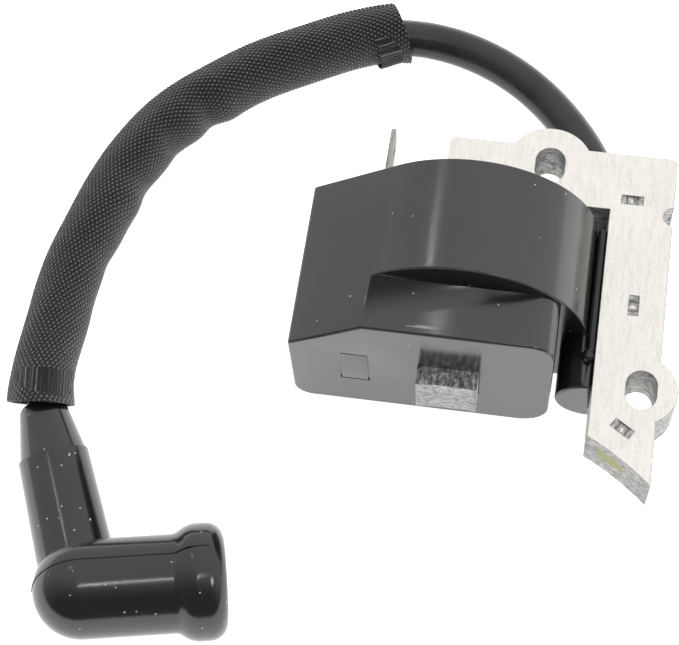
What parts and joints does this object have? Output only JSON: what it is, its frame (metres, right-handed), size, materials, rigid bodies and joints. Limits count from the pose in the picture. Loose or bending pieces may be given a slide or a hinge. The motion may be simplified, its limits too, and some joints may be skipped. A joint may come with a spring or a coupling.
{
  "type": "ignition coil",
  "caption": "Flywheel ignition coil on a laminated core with two slotted feet, a potted black housing, and a sleeved high-tension lead with a right-angle plug boot.",
  "frame": {"origin": "under the middle of the coil unit (core and housing, without its lead, sleeve and boot), on the surface that the housing's back lies on", "axes": "+Z is the outward normal of the core's front face, +X runs along the core's top bar towards the long outer leg, +Y points from the pole faces to the top bar"},
  "size_m": [0.1181, 0.1345, 0.0376],
  "materials": {
    "core_steel": "brushed",
    "housing_plastic": "gloss",
    "resin": "satin",
    "sealant": "gloss",
    "bobbin_plastic": "satin",
    "winding_wire": "enamelled",
    "board": "satin",
    "resistor_body": "satin",
    "component_case": "matte",
    "disc_ceramic": "satin",
    "film_case": "satin",
    "tinned_brass": "satin",
    "brass_pin": "turned",
    "lead_jacket": "gloss",
    "copper_strand": "stranded",
    "braid": "woven",
    "boot_rubber": "gloss",
    "spring_steel": "satin"
  },
  "bodies": {
    "coil_unit": {"core_laminations": "core_steel", "housing": "housing_plastic", "potting_resin": "resin", "leg_sealant": "sealant", "primary_bobbin": "bobbin_plastic", "charge_winding": "winding_wire", "primary_winding": "winding_wire", "secondary_bobbin": "bobbin_plastic", "secondary_windings": "winding_wire", "circuit_board": "board", "resistors": "resistor_body", "diodes": "component_case", "thyristor": "component_case", "trigger_capacitor": "disc_ceramic", "storage_capacitor": "film_case", "kill_switch_tab": "tinned_brass", "ground_strap": "tinned_brass", "primary_leads": "winding_wire", "hv_link": "winding_wire", "hv_terminal": "brass_pin", "lead_insulation": "lead_jacket", "lead_conductor": "copper_strand", "braided_sleeve": "braid"},
    "plug_boot": {"plug_boot": "boot_rubber", "plug_clip": "spring_steel"}
  },
  "joints": [
    {"name": "boot_swivel", "type": "hinge", "parent": "coil_unit", "child": "plug_boot", "pos_m": [-0.07225, -0.03808, 0.00888], "axis": [-0.4112, 0.9024, -0.1288], "range_deg": [-90, 90]}
  ]
}
